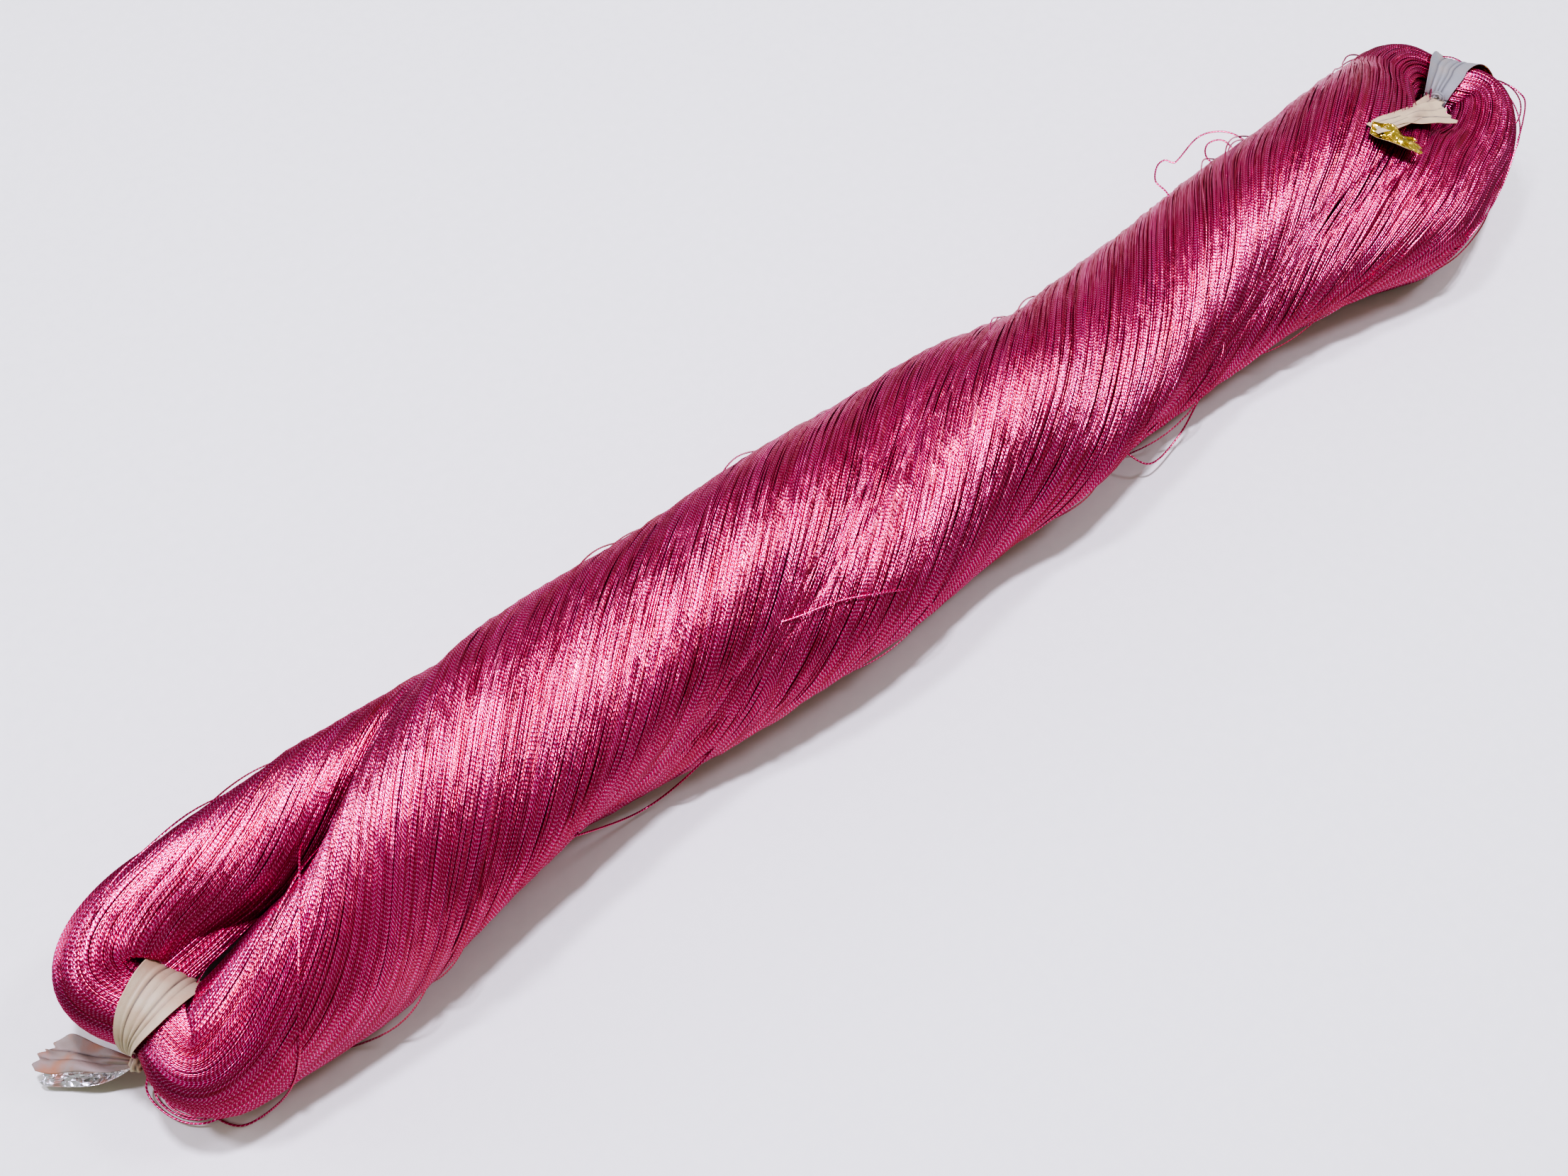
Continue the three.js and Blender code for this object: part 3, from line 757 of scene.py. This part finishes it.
# %% The foil's finish
def foil_thread_material(name, colour, dark_tone_and_shade, painted_glint_colour):
    """Dyed foil: metal in two tones from thread to thread, with a painted glint: paler by a cosine at each
    turn's crest.
    """
    material, tree = new_material(name)
    tone = attribute(tree, "tone")
    turns, each, drift = foil_turns(tree, tone)
    mixed = math_node(tree, "MULTIPLY_ADD", tone, 0.6, math_node(tree, "MULTIPLY", drift, 0.4))
    dyed = mixed_colour(tree, mixed, (*dark_tone_and_shade, 1), (*colour, 1))
    # painted glint: each turn's crest is mixed towards the paler glint colour, more on the brighter
    # threads
    painted_glint = ranged(tree, math_node(tree, "COSINE", turns), (0.4, 1.0), (0.0, 0.75))
    painted_glint = math_node(tree, "MULTIPLY", painted_glint, mixed)
    finish_material(tree, {
        "Base Color": mixed_colour(tree, painted_glint, dyed, (*painted_glint_colour, 1)),
        "Metallic": 0.9,
        "Roughness": ranged(tree, mixed, end=(0.32, 0.285)),
        "Normal": foil_normal(tree, turns, each, drift),
    })
    return material


# the usual tone, the darker tone, and the painted glint colour on each turn's crest
pink_foil = foil_thread_material(
    "pink foil thread", (0.75, 0.056, 0.182), (0.42, 0.060, 0.068), (0.92, 0.62, 1.0),
)
for piece in [core, *bundles]:
    piece.data.materials.append(pink_foil)
    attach(piece, "root")
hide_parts("hank")
print("pink foil on", 1 + len(bundles), "pieces")

# %% [markdown]
# ## The paper ties
# A strip of paper with foil on its back is wrapped round each end of the skein and knotted. It is broad
# where it lies open and gathered to almost nothing at the knot, with creases that fan out from there.
# Cloth simulation could crumple it, but the band has to hug the threads, so it is laid on the loop's own
# surface, lifted off it a little, and the creases are pressed into it.

# %% The band of a tie
GAP = 0.45  # between the threads and the paper
BAND_AROUND, BAND_ACROSS = 130, 46
TRIES = np.linspace(-1.2, 1.2, 241)  # angles to either side, tried for the width
PUFF, CURL = 0.35, 0.5  # mm that the paper stands up between its creases, and at its edges
BAND_CREASE, STRIP_CREASE = 0.035, 0.05  # how wide a crease is, as a share of the strip's width


def on_loop(loop, psi, u, lift):
    """A place on an end loop at the angle psi round it and u round its section, lifted off it."""
    ring = loop_rings(loop, psi)
    return on_ring(ring, *outline(u, ring, lift))


def creases(b, a, lines, fine):
    """How deep the paper is creased: a sharp valley at each line across the strip, slightly wavy."""
    deep = 0 * b
    for number, (line, depth) in enumerate(lines):
        wavy = line + 0.03 * np.sin(5 * a + 2.3 * number) + 0.015 * np.sin(13 * a + number)
        deep = np.maximum(deep, depth * np.exp(-np.abs(b - wavy) / fine))
    return deep


def band(tie):
    """A ring of paper from the knot round the waist and back: the angle u goes once round, and across
    the strip the angle psi is the one whose distance along the skein is the strip's width there."""
    a, b = np.linspace(0, 1, BAND_AROUND), np.linspace(0, 1, BAND_ACROSS)
    loop, u = tie["loop"], tie["knot"] + 2 * math.pi * a
    middle = loop["tied"] + tie["start"] + tie["slew"] * (0.5 - 0.5 * np.cos(u - tie["knot"]))
    open_up = (0.5 + 0.5 * np.cos(u - tie["broad"])) ** tie["gather"]
    width = tie["narrow"] + (tie["wide"] - tie["narrow"]) * open_up
    tries = middle[:, None] + TRIES[None]
    far = lengths(on_loop(loop, tries, u[:, None], 0.0))
    far -= far[:, [len(TRIES) // 2]]
    psi = np.stack([np.interp((b - 0.5) * w, f, p) for w, f, p in zip(width, far, tries)])
    deep = creases(b[None] + 0 * psi, a[:, None] + 0 * psi, tie["creases"], BAND_CREASE)
    curl = CURL * np.abs(2 * b[None] - 1) ** 4 * open_up[:, None]
    return on_loop(loop, psi, u[:, None] + 0 * psi, GAP + PUFF - PUFF * deep + curl), deep


# %% The free ends of a tie
STRIP_ALONG, STRIP_ACROSS = 56, 28
TEETH, CUT_FROM = 4, 0.7  # of the zigzag, and where along the strip it begins
END_CREASES = [(0.35, 1.0), (0.65, 0.8)]  # each one's place across and depth


def strip(rows, cut, crumple, lines):
    """A strip of paper along a curve through rows of x, y, z, width and tilt, level across but for the
    tilt. It is crumpled by sine waves, creased lengthwise, and a cut end has a zigzag."""
    line = smooth_line(rows, STRIP_ALONG)
    place = line[:, :3]
    ahead = unit(np.gradient(place, axis=0))
    side = unit(np.cross((0, 0, 1), ahead))
    tilt = np.radians(line[:, 4:5])
    side = side * np.cos(tilt) + np.cross(ahead, side) * np.sin(tilt)
    face = np.cross(ahead, side)
    a, b = np.meshgrid(np.linspace(0, 1, STRIP_ALONG), np.linspace(0, 1, STRIP_ACROSS), indexing="ij")
    teeth = cut * np.abs((b * TEETH) % 1 * 2 - 1) * np.clip((a - CUT_FROM) / (1 - CUT_FROM), 0, 1)
    deep = creases(b, a, lines, STRIP_CREASE)
    bumps = np.clip(4 * a, 0, 1) * waves(0.35 * b, a, 7, (1, 4), (0.3, 0.9))
    bend = crumple * (bumps - 0.5 * deep)
    across = (b - 0.5) * line[:, 3:4]
    moved = across[..., None] * side[:, None] + bend[..., None] * face[:, None]
    return place[:, None] + moved - teeth[..., None] * ahead[:, None], deep


# %% The two ties
NEAR_TIE = dict(  # angles in radians: the band's start off the waist, its knot and its broadest place
    loop=NEAR, start=0.06, knot=-0.4, broad=2.5, slew=0.02, gather=1.15, wide=9.2, narrow=0.7,
    creases=[(0.2, 0.8), (0.38, 1.0), (0.52, 0.7), (0.68, 1.0), (0.84, 0.6)],
    knot_size=(1.5, 0.95), knot_axis=(-0.6, 0.7, -0.1),
    strips=[
        dict(from_knot=True, foil_up=False, cut=1.2, crumple=0.9, rows=[
            (-173.6, 3.2, 5.4, 4.6, 12), (-177.2, 7.4, 4.6, 6.6, 20), (-180.6, 11.4, 4.0, 7.0, 24)]),
        dict(from_knot=True, foil_up=True, cut=0.8, crumple=0.45, rows=[
            (-174.4, 1.8, 3.4, 3.4, -10), (-178.8, 5.6, 2.2, 4.2, -10), (-182.2, 9.0, 1.8, 4.6, -10)]),
    ],
)
FAR_TIE = dict(
    loop=FAR, start=-0.15, knot=2.3, broad=0.3, slew=1.02, gather=1.2, wide=11.0, narrow=4.0,
    creases=[(0.3, 1.0), (0.42, 0.7), (0.55, 0.9), (0.7, 1.0)],
    knot_size=(1.5, 0.9), knot_axis=(-0.8, -0.4, 0.4),
    strips=[
        dict(from_knot=False, foil_up=False, cut=1.2, crumple=0.3, rows=[
            (119.4, -0.4, 35.0, 1.8, 0), (127.4, -0.9, 32.6, 3.8, 0),
            (134.2, -2.1, 30.6, 5.8, 0), (139.8, -3.8, 29.0, 7.4, 0)]),
        dict(from_knot=True, foil_up=False, cut=0, crumple=0.25, rows=[
            (131.8, -0.2, 31.0, 4.0, 0), (122.8, -0.5, 34.2, 4.4, 0),
            (117.0, 0.2, 35.0, 3.6, 0)]),
        dict(from_knot=False, foil_up=True, cut=1.2, crumple=0.45, rows=[
            (116.8, 0.4, 35.2, 3.6, 0), (118.5, -2.5, 34.6, 4.8, 0),
            (121.1, -5.2, 33.4, 5.2, 0), (124.2, -7.8, 31.6, 5.0, 0)]),
    ],
)
print("free ends:", len(NEAR_TIE["strips"]), "near and", len(FAR_TIE["strips"]), "far")

# %% The ties' paper
PAPER = 0.12  # its thickness
KNOT_LIFT = 1.6  # mm of a knot's middle above the band's underside


def knot_seat(tie):
    """Where a tie's knot sits: on the waist of its loop, off the threads."""
    loop = tie["loop"]
    return on_loop(loop, np.array(loop["tied"] + tie["start"]), np.array(tie["knot"]), GAP + KNOT_LIFT)


def tie_grids(tie):
    """A tie's band and each of its free ends, as grids of points and of how deep they are creased."""
    grids = [band(tie)]
    root = (*(knot_seat(tie) - SHIFT), tie["narrow"], 0)
    for end in tie["strips"]:
        rows = [root, *end["rows"]] if end["from_knot"] else end["rows"]
        points, deep = strip(rows, end["cut"], end["crumple"], END_CREASES)
        points = points + SHIFT
        grids.append((points[:, ::-1], deep[:, ::-1]) if end["foil_up"] else (points, deep))
    return grids


def paper_tie(name, tie):
    """One mesh of a tie's band and free ends: paper on the front of every face and foil on its back.
    The attribute free is 0 on the band and 1 on the ends."""
    points, quads, uv, crease_shade, free, start = [], [], [], [], [], 0
    for place, deep in tie_grids(tie):
        rows, columns = place.shape[:2]
        place[..., 2] = np.maximum(place[..., 2], 2 * PAPER)
        faces = grid_quads(rows, columns)[:, ::-1]
        along_it, across_it = lengths(place[:, columns // 2]), np.linspace(0, 1, columns)
        here = np.stack(np.broadcast_arrays(along_it[:, None], across_it[None]), -1).reshape(-1, 2)
        points.append(place.reshape(-1, 3))
        # how deep each point is creased, which darkens the paper there as painted shade
        crease_shade.append(deep.ravel())
        free.append(np.full(deep.size, float(len(free) > 0)))
        quads.append(faces + start)
        uv.append(here[faces.ravel()])
        start += rows * columns
    points, quads, uv, crease_shade, free = map(np.concatenate, (points, quads, uv, crease_shade, free))
    piece = put_mesh(name, points, quads, uv, {"crease_shade": crease_shade, "free": free})
    wall = piece.modifiers.new("paper", "SOLIDIFY")
    wall.thickness, wall.offset, wall.material_offset = PAPER * MM, -1, 1
    return piece


near_strip, far_strip = paper_tie("near_strip", NEAR_TIE), paper_tie("far_strip", FAR_TIE)
print("two ties of", len(near_strip.data.polygons), "and", len(far_strip.data.polygons), "quads")

# %% The knots
KNOT_AROUND, KNOT_SIDES = 48, 28


def paper_knot(name, tie):
    """A strip pulled tight round itself: a fat ring about the axis of the free ends, pleated by sines."""
    major, minor = tie["knot_size"]
    turns = [np.linspace(0, 2 * math.pi, count, endpoint=False) for count in (KNOT_AROUND, KNOT_SIDES)]
    q, p = np.meshgrid(*turns, indexing="ij")
    thick = minor * (1 + 0.14 * np.sin(5 * p + 2 * q) + 0.08 * np.sin(9 * p - 3 * q))
    axis = unit(np.array(tie["knot_axis"]))
    side = unit(np.cross(axis, (0.3, 0.2, 1)))
    up = np.cross(axis, side)
    ring = np.cos(q)[..., None] * side + np.sin(q)[..., None] * up * 0.8
    out = (0.45 * major + thick * np.cos(p))[..., None]
    points = knot_seat(tie) + out * ring + (1.1 * thick * np.sin(p))[..., None] * axis
    quads = grid_quads(KNOT_AROUND + 1, KNOT_SIDES, around=True) % (KNOT_AROUND * KNOT_SIDES)
    # painted shade in the valleys between the knot's pleats
    crease_shade = np.clip(0.5 - 2 * (thick / minor - 1), 0, 1)
    marks = {"crease_shade": crease_shade, "free": 0 * crease_shade}
    return put_mesh(name, points.reshape(-1, 3), quads[:, [0, 3, 2, 1]], attributes=marks)


near_knot, far_knot = paper_knot("near_knot", NEAR_TIE), paper_knot("far_knot", FAR_TIE)
print("two knots of", len(near_knot.data.polygons), "quads each")

# %% [markdown]
# ## Paper and foil
# The paper is thin and matt and a little fibrous, and shade is painted into its creases as a darker
# colour. The foil on its back is crumpled with it, so its normal is broken up by a coarse noise. Pictures
# of paper could be wrapped on, but noise needs no file and has no seam. Both ties share these two
# effects, so each effect is a node group that every material places with its own values.

# %% The paper's fibres
def group_of(name, inputs, outputs):
    """An empty node group with named number or colour sockets, its input node and its output node."""
    group = bpy.data.node_groups.new(name, "ShaderNodeTree")
    for way, sockets in (("INPUT", inputs), ("OUTPUT", outputs)):
        for key, kind in sockets.items():
            group.interface.new_socket(key, in_out=way, socket_type=kind)
    return group, group.nodes.new("NodeGroupInput"), group.nodes.new("NodeGroupOutput")


FLOAT, COLOUR = "NodeSocketFloat", "NodeSocketColor"
fibres, given, made = group_of(
    "paper fibres and crease shade", {"Paper": COLOUR, "Ends": COLOUR, "Crease shade": COLOUR, "Stain": COLOUR},
    {"Colour": COLOUR, "Height": FLOAT},
)
place = put(fibres, "ShaderNodeTexCoord").outputs["Object"]
fleck, cloud = noise(fibres, place, 2600.0, 4.0), noise(fibres, place, 260.0, 2.0)
free = attribute(fibres, "free")
stained = math_node(fibres, "MULTIPLY_ADD", free, 0.7, 0.3)
stained = math_node(fibres, "MULTIPLY", ranged(fibres, cloud, (0.45, 0.75)), stained)
# painted shade: the paper is darkened towards the crease colour where it is creased
line = ranged(fibres, attribute(fibres, "crease_shade"), (0.45, 1.0))
colour = mixed_colour(fibres, free, given.outputs["Paper"], given.outputs["Ends"])
colour = mixed_colour(fibres, stained, colour, given.outputs["Stain"])
colour = mixed_colour(fibres, line, colour, given.outputs["Crease shade"])
fibres.links.new(colour, made.inputs["Colour"])
fibres.links.new(math_node(fibres, "MULTIPLY_ADD", fleck, 0.4, cloud), made.inputs["Height"])


def paper_material(name, paper, ends, crease_shade, stain):
    """Matt paper with fibres, one colour on the band and another on the free ends, a stain, and painted
    shade in the creases.
    """
    material, tree = new_material(name)
    look = put(tree, "ShaderNodeGroup", node_tree=fibres)
    for key, value in (("Paper", paper), ("Ends", ends), ("Crease shade", crease_shade), ("Stain", stain)):
        look.inputs[key].default_value = (*value, 1)
    finish_material(tree, {
        "Base Color": look.outputs["Colour"], "Roughness": 0.6,
        "Normal": bumped(tree, look.outputs["Height"], 0.4, 0.0002),
    })
    return material


print(f"{fibres.name}: {len(fibres.nodes)} nodes")

# %% The crumpled foil
crumple, given, made = group_of(
    "crumpled foil", {"Foil": COLOUR, "Tint": COLOUR}, {"Colour": COLOUR, "Height": FLOAT},
)
place = put(crumple, "ShaderNodeTexCoord").outputs["Object"]
inputs = {"Vector": place, "Scale": 620.0}
fold = put(crumple, "ShaderNodeTexVoronoi", inputs, feature="DISTANCE_TO_EDGE").outputs[0]
patch = ranged(crumple, noise(crumple, place, 330.0, 2.0), (0.5, 0.62))
colour = mixed_colour(crumple, patch, given.outputs["Foil"], given.outputs["Tint"])
crumple.links.new(colour, made.inputs["Colour"])
crumple.links.new(fold, made.inputs["Height"])


def foil_material(name, foil, tint):
    """Bright crumpled foil in two tints."""
    material, tree = new_material(name)
    look = put(tree, "ShaderNodeGroup", node_tree=crumple)
    look.inputs["Foil"].default_value, look.inputs["Tint"].default_value = (*foil, 1), (*tint, 1)
    finish_material(tree, {
        "Base Color": look.outputs["Colour"], "Metallic": 1.0, "Roughness": 0.22,
        "Normal": bumped(tree, look.outputs["Height"], 0.7, 0.0012),
    })
    return material


print(f"{crumple.name}: {len(crumple.nodes)} nodes")

# %% Dressing the ties
# near tie: a cream band, free ends painted darker as painted shade, then the crease shade and a stain
cream_paper_with_shaded_ends = paper_material(
    "cream paper, shade painted on the ends", (0.46, 0.395, 0.23), (0.28, 0.235, 0.165), (0.10, 0.075, 0.05), (0.36, 0.16, 0.06),
)
# far tie: the band is white paper painted grey as painted shade, the free ends are cream, then the crease
# shade and a stain
paper_with_shaded_band = paper_material(
    "white paper, shade painted on the band", (0.25, 0.26, 0.215), (0.50, 0.41, 0.22), (0.09, 0.09, 0.08), (0.40, 0.31, 0.18),
)
# the silver's second tint is reddish: a painted reflection of the pink threads, laid in patches by noise
silver_foil = foil_material("silver foil", (0.82, 0.82, 0.80), (0.75, 0.50, 0.42))
gold_foil = foil_material("gold foil", (0.80, 0.62, 0.14), (0.70, 0.45, 0.08))
for piece, knot, paper, foil, node, flat, area in (  # flat width and length in m, and area in square m
    (near_strip, near_knot, cream_paper_with_shaded_ends, silver_foil, "near_tie", (0.0105, 0.092), 0.00058),
    (far_strip, far_knot, paper_with_shaded_band, gold_foil, "far_tie", (0.011, 0.092), 0.00088),
):
    for part in (piece, knot):
        part.data.materials.append(paper)
        part.data.materials.append(foil)
        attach(part, "root")
    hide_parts(node)
print("paper and foil on both ties")
